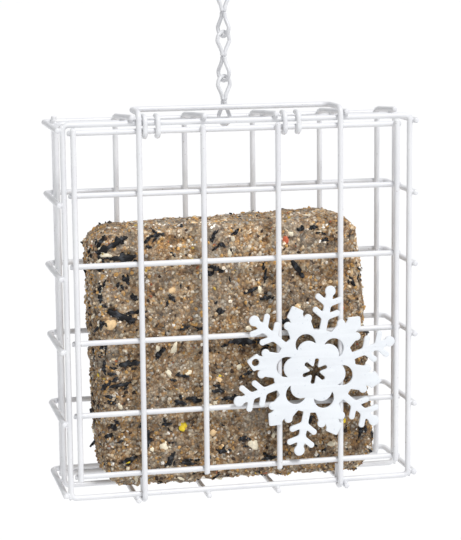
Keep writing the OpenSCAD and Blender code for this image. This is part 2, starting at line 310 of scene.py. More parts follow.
# ---------------------------------------------------------------- mesh tools
def mesh_object(name, verts, faces, material, smooth=True):
    """A new object from vertices in metres and faces as index lists."""
    mesh = bpy.data.meshes.new(name)
    mesh.from_pydata([tuple(v) for v in verts], [], [tuple(f) for f in faces])
    mesh.validate()
    mesh.update()
    mesh.polygons.foreach_set("use_smooth", [smooth] * len(mesh.polygons))
    mesh.materials.append(material)
    piece = bpy.data.objects.new(name, mesh)
    bpy.context.collection.objects.link(piece)
    return piece


def place(piece, body, slot, *replaced):
    """Rides a piece on its body and hides the CAD parts that it stands for."""
    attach(piece, body)
    if replaced:
        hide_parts(*replaced)


def paint(piece, name, colours):
    """Stores one colour for each vertex as a named attribute."""
    layer = piece.data.attributes.new(name, "FLOAT_COLOR", "POINT")
    rgba = np.ones((len(colours), 4), dtype=np.float32)
    rgba[:, :3] = colours
    layer.data.foreach_set("color", rgba.ravel())


def rings_to_faces(rings, around):
    """Faces that join rings of vertices one after another and close both ends."""
    faces = []
    for r in range(rings - 1):
        for a in range(around):
            b = (a + 1) % around
            here, there = r * around, (r + 1) * around
            faces.append((here + a, here + b, there + b, there + a))
    faces.append(tuple(reversed(range(around))))
    faces.append(tuple((rings - 1) * around + a for a in range(around)))
    return faces


def read_all(items, key, width):
    """One row of numbers for each item, such as a mesh's vertices."""
    values = np.empty(len(items) * width)
    items.foreach_get(key, values)
    return values.reshape(-1, width)


def frames_along(points):
    """The tangents of a path, and two directions across it that don't twist."""
    tangents = np.gradient(points, axis=0)
    tangents /= np.linalg.norm(tangents, axis=1)[:, None]
    side = np.cross(tangents[0], (0.31, 0.57, 0.76))
    side /= np.linalg.norm(side)
    sides = []
    for tangent in tangents:
        side = side - tangent * (side @ tangent)
        side /= np.linalg.norm(side)
        sides.append(side)
    sides = np.array(sides)
    return tangents, sides, np.cross(tangents, sides)


def tube(points, radius, around=18, dome=0.45):
    """Vertices and faces, in millimetres, of a wire with domed ends."""
    points = np.asarray(points, dtype=float)
    tangents, sides, ups = frames_along(points)
    angles = np.arange(around) * 2 * math.pi / around
    cos, sin = np.cos(angles)[:, None], np.sin(angles)[:, None]
    rings = []

    def ring(centre, index, r):
        rings.append(centre + r * (cos * sides[index] + sin * ups[index]))

    dome_steps = [(0.2, -1.0), (0.55, -0.83), (0.83, -0.55), (0.97, -0.2)]
    for share, back in dome_steps:
        ring(points[0] + tangents[0] * back * dome * radius, 0, share * radius)
    for index, point in enumerate(points):
        ring(point, index, radius)
    last = len(points) - 1
    for share, back in reversed(dome_steps):
        ring(points[-1] - tangents[-1] * back * dome * radius, last, share * radius)
    return np.concatenate(rings), rings_to_faces(len(rings), around)


def smooth_path(points, steps):
    """A Catmull-Rom curve through the points, with so many steps to each span."""
    p = np.asarray(points, dtype=float)
    p = np.vstack([2 * p[0] - p[1], p, 2 * p[-1] - p[-2]])
    out = []
    for i in range(1, len(p) - 2):
        for t in np.arange(steps) / steps:
            out.append(0.5 * (
                2 * p[i] + (p[i + 1] - p[i - 1]) * t
                + (2 * p[i - 1] - 5 * p[i] + 4 * p[i + 1] - p[i + 2]) * t * t
                + (3 * p[i] - p[i - 1] - 3 * p[i + 1] + p[i + 2]) * t ** 3
            ))
    out.append(p[-2])
    return np.array(out)


class Heap:
    """Collects many small shapes, in the cage's millimetres, into one mesh."""

    def __init__(self):
        self.verts, self.faces, self.count = [], [], 0

    def add(self, verts, faces):
        self.verts.extend(verts)
        self.faces.extend(tuple(i + self.count for i in face) for face in faces)
        self.count += len(verts)

    def build(self, name, material):
        return mesh_object(name, [at(*v) for v in self.verts], self.faces, material)


# ---------------------------------------------------------------- welds
def weld_shape(blend=0.85, reach=2.0, shrink=0.012, rows=16, columns=26):
    """The fillet between two touching wires that cross at a right angle.

    One wire runs along x above the origin, the other along y below it. Each
    ray from the origin is followed for up to reach to the surface that joins
    the wires over a width of blend, drawn in by shrink, all in millimetres.
    """
    directions = [(0, 0, 1)]
    for polar in (math.pi * i / rows for i in range(1, rows)):
        for turn in (2 * math.pi * j / columns for j in range(columns)):
            across = math.sin(polar)
            directions.append((across * math.cos(turn), across * math.sin(turn), math.cos(polar)))
    directions.append((0, 0, -1))
    directions = np.array(directions)
    travel = np.full(len(directions), reach)
    found = np.zeros(len(directions), dtype=bool)
    for distance in np.arange(0.05, reach, 0.01):
        p = directions * distance
        above = np.hypot(p[:, 1], p[:, 2] - WIRE_R) - WIRE_R
        below = np.hypot(p[:, 0], p[:, 2] + WIRE_R) - WIRE_R
        overlap = np.maximum(blend - np.abs(above - below), 0) / blend
        field = np.minimum(above, below) - overlap ** 2 * blend / 4 + shrink
        hit = (field > 0) & ~found
        travel[hit] = distance
        found |= hit
    verts = directions * travel[:, None]
    faces = [(0, 1 + j, 1 + (j + 1) % columns) for j in range(columns)]
    for i in range(rows - 2):
        base = 1 + i * columns
        for j in range(columns):
            k = (j + 1) % columns
            faces.append((base + j, base + columns + j, base + columns + k, base + k))
    last = len(verts) - 1
    base = 1 + (rows - 2) * columns
    faces.extend((base + j, last, base + (j + 1) % columns) for j in range(columns))
    return verts, faces


WELD_VERTS, WELD_FACES = weld_shape()


def add_weld(heap, point, along_upper, along_lower, to_upper, size=1.0):
    """Puts a weld at a point of the cage, its axes given as unit vectors.

    Axes that mirror the shape would turn it inside out, so its faces turn too.
    """
    axes = np.array([along_upper, along_lower, to_upper], dtype=float)
    swell = 1 + 0.03 * rng.random()
    mirrored = np.linalg.det(axes) < 0
    faces = [face[::-1] for face in WELD_FACES] if mirrored else WELD_FACES
    heap.add(WELD_VERTS * size * swell @ axes + np.array(point), faces)


X, Y, Z = (1, 0, 0), (0, 1, 0), (0, 0, 1)
LEFT, FORWARD, DOWN = (-1, 0, 0), (0, -1, 0), (0, 0, -1)
SIX, FOUR = range(1, 7), range(1, 5)


def cage_welds():
    """Fillets where the rings meet the bands, and the uprights the bands and rings."""
    heap = Heap()
    rings = [middle("front_ring").y, middle("mid_ring").y]
    bands = [middle(f"side_band_{i}").z for i in SIX]
    uprights = [middle(f"back_upright_{i}").x for i in SIX]
    ring_side = span("front_ring")[1].x
    back = span("back_upright_1")[1].y
    for ring_y in rings:
        for z in bands:
            for side in (-1, 1):
                add_weld(heap, (side * ring_side, ring_y, z), Y, Z, (side, 0, 0))
    for x in uprights:
        for z in bands[1:]:
            add_weld(heap, (x, back, z), X, Z, Y)
    for ring in ("front_ring", "mid_ring"):
        low, high = span(ring)
        ring_y = (low.y + high.y) / 2
        for x in uprights[1:-1]:
            add_weld(heap, (x, ring_y, high.z), Y, X, Z)
            add_weld(heap, (x, ring_y, low.z), Y, X, DOWN)
    # The last upright's short top run reaches only the middle ring, the last above
    add_weld(heap, (uprights[-1], ring_y, high.z), Y, X, Z)
    return heap.build("cage_welds", WIRE_COAT)


def door_welds():
    """Fillets where the door's crossbars meet its uprights, legs and clips."""
    heap = Heap()
    low, high = span("door_hoop_wire")
    legs = [low.x + WIRE_R, high.x - WIRE_R]
    uprights = [middle(f"door_upright_{i}").x for i in FOUR]
    bars = [middle(f"door_crossbar_{i}") for i in SIX]
    for bar in bars:
        for x in uprights + legs:
            add_weld(heap, (x, bar.y - WIRE_R, bar.z), Z, X, FORWARD)
    top = bars[-1]
    for i in FOUR:
        touch = (middle(f"clip_hook_{i}").x, top.y - WIRE_R, top.z)
        add_weld(heap, touch, Z, X, FORWARD, size=0.93)
    return heap.build("door_welds", WIRE_COAT)


# ---------------------------------------------------------------- wire ends
# The drop's width and height over the wire's end, as shares of the wire's radius
DROP = [(0.9, -0.12), (1.0, 0.0), (0.95, 0.2), (0.78, 0.37), (0.5, 0.48), (0.2, 0.53)]


def add_end(heap, point, direction, radius=WIRE_R, around=16):
    """A rounded drop of coating over the cut end of a wire."""
    turn = Vector(direction).normalized().to_track_quat("Z", "Y").to_matrix()
    verts = []
    for share, height in DROP:
        for angle in (2 * math.pi * j / around for j in range(around)):
            local = Vector((share * math.cos(angle), share * math.sin(angle), height)) * radius
            verts.append(Vector(point) + turn @ local)
    heap.add(verts, rings_to_faces(len(DROP), around))


def add_bar_ends(heap, node):
    """Drops on both ends of a straight wire that lies across the cage."""
    low, high = span(node)
    y, z = (low.y + high.y) / 2, (low.z + high.z) / 2
    add_end(heap, (low.x, y, z), LEFT)
    add_end(heap, (high.x, y, z), X)


# The uprights' top runs slope a little: their end's direction, and how far behind
# the foremost point the middle of the cut is, in millimetres
TOP_RUN_END, TOP_RUN_BACK = (0, -1, 0.067), 0.03


def cage_ends():
    """Drops on the cut ends of the bands, uprights and rear floor wire.

    The outermost uprights point down at their feet, and the first up at its top.
    """
    heap = Heap()
    for i in SIX:
        low, high = span(f"side_band_{i}")
        for x in (low.x + WIRE_R, high.x - WIRE_R):
            add_end(heap, (x, low.y, (low.z + high.z) / 2), FORWARD)
        low, high = span(f"back_upright_{i}")
        x = (low.x + high.x) / 2
        if i in (1, 6):
            add_end(heap, (x, high.y - WIRE_R, low.z), DOWN)
        else:
            add_end(heap, (x, low.y, low.z + WIRE_R), FORWARD)
        if i == 1:
            add_end(heap, (x, high.y - WIRE_R, high.z), Z)
        else:
            add_end(heap, (x, low.y + TOP_RUN_BACK, high.z - WIRE_R), TOP_RUN_END)
    add_bar_ends(heap, "rear_floor_wire")
    return heap.build("cage_wire_ends", WIRE_COAT)


def door_ends():
    """Drops on the cut ends of the crossbars, uprights, clips and hinge curls."""
    heap = Heap()
    for i in SIX:
        add_bar_ends(heap, f"door_crossbar_{i}")
    for i in FOUR:
        low, high = span(f"door_upright_{i}")
        x, y = (low.x + high.x) / 2, (low.y + high.y) / 2
        add_end(heap, (x, y, low.z), DOWN)
        add_end(heap, (x, y, high.z), Z)
        low, high = span(f"clip_hook_{i}")
        x = (low.x + high.x) / 2
        add_end(heap, (x, high.y, high.z - CLIP_R), Y, CLIP_R)
        add_end(heap, (x, CLIP_FOOT_Y, low.z + CLIP_R), Y, CLIP_R)
    low, high = span("door_hoop_wire")
    for x in (low.x + WIRE_R, high.x - WIRE_R):
        add_end(heap, (x, HINGE_TAIL_Y, HINGE_TAIL_Z), Z)
    return heap.build("door_wire_ends", WIRE_COAT)


# ---------------------------------------------------------------- snowflake
def outline_loops(node):
    """The outlines of a flat node's front face, as lists of (x, z) in metres."""
    mesh = NODES[node].data
    points = np.array([v.co[:] for v in mesh.vertices])
    front = points[:, 1] < points[:, 1].min() + 1e-6
    # Vertices within a micrometre count as one: the first stands for them all
    first = {}
    microns = np.round(points * 1e6).astype(int)
    ids = [first.setdefault(tuple(spot), index) for index, spot in enumerate(microns)]
    sides = {}  # a dict and not a set, because it keeps the faces' order
    for face in mesh.polygons:
        corners = [ids[i] for i in face.vertices]
        if all(front[i] for i in corners):
            sides.update(dict.fromkeys(zip(corners, corners[1:] + corners[:1])))
    follow = {a: b for a, b in sides if (b, a) not in sides}
    loops = []
    while follow:
        start, nxt = follow.popitem()
        loop = [start]
        while nxt != start:
            loop.append(nxt)
            nxt = follow.pop(nxt)
        loops.append([(points[i][0], points[i][2]) for i in loop])
    return loops


def rounded_corners(loop, reach, bend=math.radians(20)):
    """A closed outline whose corners that turn by more than bend become arcs."""
    points = [Vector(p) for p in loop]
    out = []
    for before, here, after in zip(points[-1:] + points[:-1], points, points[1:] + points[:1]):
        back, ahead = before - here, after - here
        if back.length == 0 or ahead.length == 0:
            continue
        if math.pi - back.angle(ahead) < bend:
            out.append(tuple(here))
            continue
        a = here + back.normalized() * min(reach, 0.45 * back.length)
        b = here + ahead.normalized() * min(reach, 0.45 * ahead.length)
        for t in (0, 0.25, 0.5, 0.75, 1):
            out.append(tuple(a.lerp(here, t).lerp(here.lerp(b, t), t)))
    return out


def snowflake():
    """The sheet-metal flake with its punched edges softened by the coating."""
    low, high = span("snowflake")
    thickness = (high.y - low.y) * MM
    soft, corner, crease = 0.24 * MM, 0.75 * MM, math.radians(50)
    curve = bpy.data.curves.new("snowflake_sheet", "CURVE")
    curve.dimensions = "2D"
    curve.fill_mode = "BOTH"
    curve.extrude = thickness / 2 - soft
    curve.bevel_depth = soft
    curve.bevel_resolution = 2
    curve.offset = -soft
    for loop in outline_loops("snowflake"):
        loop = rounded_corners(loop, corner)
        spline = curve.splines.new("POLY")
        spline.points.add(len(loop) - 1)
        for point, (x, z) in zip(spline.points, loop):
            point.co = (x, z, 0, 1)
        spline.use_cyclic_u = True
    holder = bpy.data.objects.new("snowflake_curve", curve)
    bpy.context.collection.objects.link(holder)
    upright = Matrix.Rotation(math.pi / 2, 4, "X")
    holder.matrix_world = Matrix.Translation((0, at(0, (low.y + high.y) / 2, 0).y, 0)) @ upright
    bpy.context.view_layer.update()
    evaluated = holder.evaluated_get(bpy.context.evaluated_depsgraph_get())
    mesh = bpy.data.meshes.new_from_object(evaluated)
    mesh.transform(holder.matrix_world)
    bpy.data.objects.remove(holder)
    edit = bmesh.new()
    edit.from_mesh(mesh)
    bmesh.ops.remove_doubles(edit, verts=edit.verts, dist=2e-6)
    bmesh.ops.recalc_face_normals(edit, faces=edit.faces)
    for face in edit.faces:
        face.smooth = True
    for edge in edit.edges:
        if len(edge.link_faces) == 2 and edge.calc_face_angle(0) > crease:
            edge.smooth = False
    edit.to_mesh(mesh)
    edit.free()
    mesh.materials.clear()
    mesh.materials.append(SHEET_COAT)
    piece = bpy.data.objects.new("snowflake_sheet", mesh)
    bpy.context.collection.objects.link(piece)
    return piece


# ---------------------------------------------------------------- chain, hook
# How far a link's upper loop is turned from the cage's front, with its lower loop
# a right angle on, and half a loop's width in millimetres
LINK_TURN = math.radians(30)
LINK_HALF_WIDTH = 2.9


def chain_link(node):
    """One jack-chain link: two pear-shaped loops twisted together at the waist."""
    low, high = span(node)
    end = (high.z - low.z) / 2 - CHAIN_R
    w = LINK_HALF_WIDTH
    loop = [
        (-0.70, 0.5), (-0.82, 1.5), (-1.5, 3.0), (-2.45, 4.6), (-w, end - w),
        (-w * 0.72, end - w * 0.31), (0, end), (w * 0.72, end - w * 0.31),
        (w, end - w), (2.45, 4.6), (1.5, 3.0), (0.82, 1.5), (0.70, 0.5),
    ]
    path = [(u, 0, z) for u, z in loop]
    path.append((0.5, 0.5, 0))
    path.extend((0, u, -z) for u, z in reversed(loop))
    verts, faces = tube(smooth_path(path, 7), CHAIN_R, 16)
    turn = np.array(Matrix.Rotation(LINK_TURN, 3, "Z"))
    heap = Heap()
    heap.add(verts @ turn.T + np.array(middle(node)), faces)
    return heap.build(f"{node}_wire", CHAIN_COAT)


# The hook's closed eye and open bend, as radii of the wire's middle in millimetres
EYE_R, BEND_R = 3.2, 7.0


def arc(radius, centre_z, first, last, step):
    """Points on an arc round (0, centre_z), its angles in degrees."""
    angles = np.radians(np.arange(first, last, step))
    return [(radius * math.cos(a), centre_z + radius * math.sin(a)) for a in angles]


def hanging_hook():
    """One wire bent into a closed eye, a cranked stem and an open bend."""
    low, high = span("hanging_hook")
    centre = middle("chain_link_1")
    eye_z = low.z + HOOK_R + EYE_R
    bend_z = high.z - HOOK_R - BEND_R
    path = [
        *arc(EYE_R, eye_z, 114, -181, -14),
        (-3.25, eye_z + 2.2), (-3.7, eye_z + 4.3), (-4.9, eye_z + 6.4),
        (-6.2, eye_z + 8.6), (-6.9, eye_z + 11.4),
        *arc(BEND_R, bend_z, 180, -1, -15),
        (7.1, bend_z - 1.9),
    ]
    across = LINK_TURN + math.pi / 2
    along = Vector((math.cos(across), math.sin(across), 0))
    points = [along * u + Vector((centre.x, centre.y, z)) for u, z in path]
    heap = Heap()
    heap.add(*tube(smooth_path([tuple(p) for p in points], 5), HOOK_R, 20))
    return heap.build("hanging_hook_wire", CHAIN_COAT)


# ---------------------------------------------------------------- suet
SUET_VOXEL = 0.75  # in millimetres


def suet_block():
    """The cake: the CAD block remeshed finely, then worn and crumbled."""
    piece = bpy.data.objects.new("suet_block", NODES["suet_cake"].data.copy())
    bpy.context.collection.objects.link(piece)
    remesh = piece.modifiers.new("remesh", "REMESH")
    remesh.mode = "VOXEL"
    remesh.voxel_size = SUET_VOXEL * MM
    smooth = piece.modifiers.new("smooth", "SMOOTH")
    smooth.iterations = 6
    smooth.factor = 0.5
    bpy.context.view_layer.update()
    evaluated = piece.evaluated_get(bpy.context.evaluated_depsgraph_get())
    fine = bpy.data.meshes.new_from_object(evaluated)
    piece.modifiers.clear()
    piece.data = fine
    low, high = span("suet_cake")
    points = read_all(fine.vertices, "co", 3)
    normals = read_all(fine.vertex_normals, "vector", 3)
    worn = np.array([wear(Vector(point) / MM, low, high) for point in points])
    moved = points + normals * worn[:, None] * MM
    fine.vertices.foreach_set("co", moved.ravel())
    fine.update()
    fine.polygons.foreach_set("use_smooth", [True] * len(fine.polygons))
    fine.materials.clear()
    fine.materials.append(SUET_BODY)
    return piece


def in_cage(p):
    """The cage's x and z of a point of the row frame, all in millimetres."""
    origin = CAGE / MM
    return p.x - origin.x, p.z - origin.z


def edge_share(x, z, low, high):
    """0 over the cake's middle, rising to 1 from 14 to 1 mm inside its outline."""
    inset = min(x - low.x, high.x - x, z - low.z, high.z - z)
    return min(max(1 - (inset - 1) / 13, 0), 1)


def top_share(z, high):
    """0 below the cake's top edge, rising to 1 from 11 to 3 mm under the top."""
    return np.clip((z - high.z + 11) / 8, 0, 1)


# Wear of the cake, in millimetres: for each kind of lump its size, a shift of its
# noise, its height, and how much higher it is at the rim
WEAR = [
    (17, (0, 0, 0), 0.3, 0.0), (5.5, (3, 8, 1), 0.35, 0.8),
    (1.9, (0, 0, 0), 0.28, 0.5), (1.0, (9, 2, 5), 0.12, 0.3),
]
PIT_SIZE, PIT_SHIFT, PIT_FROM = 3.3, (5, 1, 7), 0.32
PIT_DEPTH, PIT_AT_RIM = 2.2, 3.0
WEAR_DOWN, WEAR_AT_RIM, WEAR_MOST = 0.25, 0.35, 0.35
SIDE_DRAWN_IN, SIDE_FROM_X, SIDE_WIDTH, SIDE_TO_Z = 1.7, 40, 13, 70


def wear(p, low, high):
    """How far the cake's surface moves out at a point, in millimetres.

    The top edge is the smoothest, and the lower right side is drawn in.
    """
    x, z = in_cage(p)
    rim = edge_share(x, z, low, high) * (1 - 0.7 * top_share(z, high))
    out = 0.0
    for size, shift, height, at_rim in WEAR:
        out += noise.noise(p / size + Vector(shift)) * (height + at_rim * rim)
    pit = noise.noise(p / PIT_SIZE + Vector(PIT_SHIFT))
    out -= max(pit - PIT_FROM, 0) * (PIT_DEPTH + PIT_AT_RIM * rim)
    side = SIDE_DRAWN_IN * max(x - SIDE_FROM_X, 0) / SIDE_WIDTH * max(1 - z / SIDE_TO_Z, 0)
    return min(out - WEAR_DOWN - WEAR_AT_RIM * rim - side, WEAR_MOST)


def surface_samples(piece, count, rim_bias):
    """Random points and normals on a mesh, in metres, thicker at its rim."""
    faces = piece.data.polygons
    centres, normals = read_all(faces, "center", 3), read_all(faces, "normal", 3)
    areas = read_all(faces, "area", 1)[:, 0]
    low, high = span("suet_cake")
    rims = np.array([edge_share(*in_cage(Vector(c) / MM), low, high) for c in centres])
    weights = areas * (1 + rim_bias * rims)
    picks = rng.choice(len(faces), count, p=weights / weights.sum())
    jitter = (rng.random((count, 3)) - 0.5) * SUET_VOXEL * MM
    return centres[picks] + jitter, normals[picks]


def pick_colours(count, palette):
    """Random colours from a palette of (share, colour), each a little varied."""
    shares = np.array([share for share, _ in palette])
    colours = np.array([colour for _, colour in palette])
    picks = rng.choice(len(palette), count, p=shares / shares.sum())
    return colours[picks] * (0.8 + 0.4 * rng.random((count, 1)))


def turned(normals):
    """Random turns, one 3 x 3 array for each normal, which is its third axis."""
    count = len(normals)
    spin = rng.normal(size=(count, 3))
    first = spin - normals * np.sum(spin * normals, axis=1)[:, None]
    first /= np.linalg.norm(first, axis=1)[:, None]
    return np.stack([first, np.cross(normals, first), normals], axis=1)


def scatter(name, points, normals, sizes, sink, tints, material, detail=1):
    """Many irregular rounded lumps, half sunk in the surface, as one mesh."""
    edit = bmesh.new()
    bmesh.ops.create_icosphere(edit, subdivisions=detail, radius=1)
    shape = np.array([v.co[:] for v in edit.verts])
    shape_faces = np.array([[v.index for v in f.verts] for f in edit.faces])
    edit.free()
    count = len(points)
    rough = 0.78 + 0.44 * rng.random((count, len(shape), 1))
    local = shape[None] * rough * sizes[:, None, :]
    verts = np.einsum("nij,njk->nik", local, turned(normals))
    verts += (points - normals * sink[:, None])[:, None, :]
    faces = shape_faces[None] + (np.arange(count) * len(shape))[:, None, None]
    piece = mesh_object(name, verts.reshape(-1, 3), faces.reshape(-1, 3), material, detail > 1)
    paint(piece, "tint", np.repeat(tints, len(shape), axis=0))
    return piece


# Crumbs' colours, each with its share
CRUMB_PALETTE = [
    (19, (0.440, 0.285, 0.145)), (25, (0.540, 0.315, 0.110)), (10, (0.280, 0.170, 0.095)),
    (17, (0.620, 0.490, 0.330)), (10, (0.780, 0.690, 0.560)), (6, (0.930, 0.890, 0.820)),
    (11, (0.045, 0.028, 0.020)), (8, (0.360, 0.335, 0.300)), (2, (0.330, 0.110, 0.050)),
    (1, (0.560, 0.380, 0.080)),
]


def crumbs(block, count):
    """Crumbs all over the cake, deeper in its surface near the top and lighter there, partly for
    the fat and partly as painted light from above.
    """
    points, normals = surface_samples(block, count, 1.3)
    base = 0.34 + 0.5 * rng.random(count) ** 1.7
    _, high = span("suet_cake")
    heights = (points[:, 2] - CAGE.z) / MM
    sink = base * (0.35 + 0.35 * top_share(heights, high)) * MM
    # The crumbs take the cake's tint by height: partly the fat, partly painted light from above
    fat_and_top_light_factor = np.interp(heights, (FAT_AND_TOP_LIGHT_FROM, FAT_AND_TOP_LIGHT_TO), FAT_AND_TOP_LIGHT_RANGE)[:, None]
    sizes = base[:, None] * (0.7 + 0.6 * rng.random((count, 3))) * MM
    tints = pick_colours(count, CRUMB_PALETTE) * fat_and_top_light_factor
    return scatter("suet_crumbs", points, normals, sizes, sink, tints, CRUMBS)


def surface_of(block):
    """The cake's surface, ready to be met by rays."""
    bpy.context.view_layer.update()
    return BVHTree.FromObject(block, bpy.context.evaluated_depsgraph_get())


def on_front(surface, x, z, proud=0.0):
    """The cake's point that shows from the front at x and z, moved out by proud."""
    start = at(x, -1, z)
    hit = surface.ray_cast(start, Vector((0, 1, 0)))[0] or surface.find_nearest(start)[0]
    return np.array(hit - Vector((0, proud, 0)) * MM)


# Kernels and berries, and those that stand out on the front, given one by one:
# x, z, half length, half width, colour
CREAM = (0.860, 0.780, 0.600)
CORN = (0.860, 0.640, 0.040)
BERRY = (0.620, 0.150, 0.070)
MILLET = (0.820, 0.580, 0.320)
FRONT_KERNELS = [
    (18, 89, 1.9, 1.5, BERRY), (-17, 83, 1.7, 0.9, CORN), (-21, 22, 1.9, 1.6, CORN),
    (-7, 40, 0.7, 0.5, CORN), (-3, 85, 1.9, 1.2, CREAM), (-24, 51, 2.6, 1.1, CREAM),
    (-26, 42, 1.7, 1.0, CREAM), (-28, 15, 2.0, 1.8, CREAM), (0, 43, 1.4, 1.1, CREAM),
    (-47, 61, 2.4, 1.8, MILLET), (5, 14, 3.0, 2.3, CREAM), (-48, 86, 2.2, 0.9, CREAM),
    (11, 63, 1.6, 1.0, CREAM), (-10, 19, 1.5, 1.2, MILLET), (-14, 77, 0.5, 1.0, CREAM),
    (22, 64, 1.8, 1.2, MILLET), (-44, 31, 1.4, 0.9, CREAM), (-50, 84, 1.0, 1.4, CREAM),
]


def kernels(block, count):
    """Rounded grains: random ones, and the ones that stand out on the front."""
    surface = surface_of(block)
    points, normals = surface_samples(block, count, 0.6)
    sizes = np.stack([
        0.8 + 1.0 * rng.random(count),
        0.6 + 0.6 * rng.random(count),
        0.5 + 0.3 * rng.random(count),
    ], axis=1) * MM
    tints = pick_colours(count, [(20, CREAM), (11, MILLET), (1, CORN)])
    named = np.array([on_front(surface, x, z) for x, z, *_ in FRONT_KERNELS])
    named_sizes = np.array([(a, b, 0.8) for _, _, a, b, _ in FRONT_KERNELS]) * MM
    named_tints = np.array([colour for *_, colour in FRONT_KERNELS])
    points = np.vstack([points, named])
    normals = np.vstack([normals, np.tile((0.0, -1.0, 0.0), (len(named), 1))])
    sizes = np.vstack([sizes, named_sizes])
    return scatter(
        "suet_kernels", points, normals, sizes, sizes[:, 2] * 0.45,
        np.vstack([tints, named_tints]), KERNELS, detail=2,
    )


# Sunflower hulls that stand out on the front, given one by one: x, z, length,
# width, and lean in degrees up from the right
FRONT_HULLS = [
    (-42, 85, 8.0, 3.0, 5), (-47, 89.2, 8.5, 2.2, 24), (-43, 91.5, 4.5, 2.2, 8),
    (-43, 64, 8.5, 3.2, -22), (-50.3, 86.5, 4.0, 1.8, 82), (-50.5, 81.5, 3.0, 1.6, 95),
    (-37, 65, 6.0, 1.5, 0), (-24.5, 69.5, 3.0, 1.5, -50), (5, 71, 3.8, 1.6, 25),
    (22, 78, 6.5, 2.0, -55), (10, 68, 3.6, 1.6, 10), (-7, 64, 2.4, 1.6, 0),
    (2, 52, 8.0, 2.4, -4), (-1, 52.5, 5.0, 1.6, 8), (-40, 46.5, 7.0, 2.0, 6),
    (-29, 50, 4.0, 1.4, 40), (-49, 39, 4.0, 1.8, 40), (-44, 39, 7.0, 1.3, 10),
    (-47, 34, 4.0, 1.5, -25), (-21, 41, 4.2, 1.2, -10), (-17, 32, 5.0, 2.0, -12),
    (-22, 31, 4.0, 1.3, -20), (-8, 34.5, 4.0, 1.3, -8), (-3, 31.5, 4.6, 1.4, -4),
    (3, 40.5, 3.0, 1.2, 20), (-48, 20.5, 3.2, 2.2, 30), (-34, 18, 6.0, 1.6, 85),
    (-41, 11, 5.0, 1.5, 18), (-26, 10, 5.5, 2.2, 55), (-19, 8, 5.0, 1.5, -10),
    (2, 16, 3.6, 1.8, -10), (-7, 12, 3.6, 1.2, -12), (11, 8, 5.0, 1.2, 5),
    (-27, 23.3, 3.2, 1.0, 4), (-46.5, 23.5, 2.6, 1.8, -50), (-49.5, 91, 4.5, 1.5, 60),
    (-29.5, 92.6, 4.5, 1.0, 10), (-1, 92.6, 3.0, 1.1, 35), (28, 92.8, 3.0, 1.2, 10),
    (23, 92.5, 2.2, 1.3, 0), (32, 88, 1.6, 1.4, 0), (-50.4, 75, 4.0, 1.3, 88),
    (-50, 70.5, 3.0, 1.4, 80), (-11, 78.5, 3.4, 1.3, -10), (10, 76, 4.6, 1.1, 80),
    (17, 59, 4.0, 1.6, 10), (9, 51, 4.0, 1.2, -20), (27, 22, 5.0, 1.8, 75),
    (43, 72, 4.4, 1.6, -60), (46, 16, 3.4, 1.4, 80), (-14, 58, 3.0, 1.2, 30),
    (-20, 58.5, 3.2, 1.1, 20), (-50.4, 61, 3.0, 1.2, 88), (-36, 23, 2.4, 1.3, 5),
    (-41, 77, 3.4, 2.0, -60), (-38, 70.5, 2.6, 1.6, -45), (-33, 91, 2.6, 1.4, 50),
    (-9, 91, 2.6, 1.2, 80), (-8, 79.5, 4.6, 1.8, -25), (-50, 53, 4.5, 1.4, 92),
    (-49.5, 46, 3.5, 1.2, 84), (-6, 88, 2.4, 1.2, -30), (-46, 43, 3.0, 1.0, 20),
]
# The hulls lie partly in the surface, so they are larger than what shows, and
# each is laid so far before the cake's front, in millimetres
HULL_GROWTH = 1.22
HULLS_PROUD = 0.5
# The placed hulls carry the pattern of the front, to this far from its middle
FRONT_REACH = 48


def hull_shape(length, width, rows=11, columns=4):
    """A curved, torn splinter of sunflower hull, lying flat, in millimetres.

    Its third result is a point for each vertex, for the stripes along the hull.
    """
    ragged = rng.random((rows + 1, 2)) ** 1.3 * 0.72
    outer, inner, grain = [], [], []
    for i in range(rows + 1):
        t = i / rows
        half = 0.6 * width * math.sin(math.pi * min(max(t, 0.04), 0.96)) ** 0.38
        for j in range(columns + 1):
            s = 2 * j / columns - 1
            share = 1 - ragged[i][0 if s < 0 else 1] * abs(s)
            x = (t - 0.5) * length
            y = s * half * share
            crown = 0.26 * width * (1 - s * s) + 0.05 * length * math.sin(math.pi * t)
            outer.append((x, y, crown))
            inner.append((x, y * 0.96, crown - 0.28))
            grain.append((t * 0.4, s * 3.1, 0))
    verts = outer + inner
    step = columns + 1
    shift = len(outer)
    faces = []
    for i in range(rows):
        for j in range(columns):
            a = i * step + j
            faces.append((a, a + step, a + step + 1, a + 1))
            faces.append((shift + a, shift + a + 1, shift + a + step + 1, shift + a + step))
    rim = list(range(step))
    rim += [i * step + columns for i in range(1, rows + 1)]
    rim += [rows * step + j for j in range(columns - 1, -1, -1)]
    rim += [i * step for i in range(rows - 1, 0, -1)]
    for a, b in zip(rim, rim[1:] + rim[:1]):
        faces.append((a, b, shift + b, shift + a))
    return np.array(verts), faces, np.array(grain + grain)


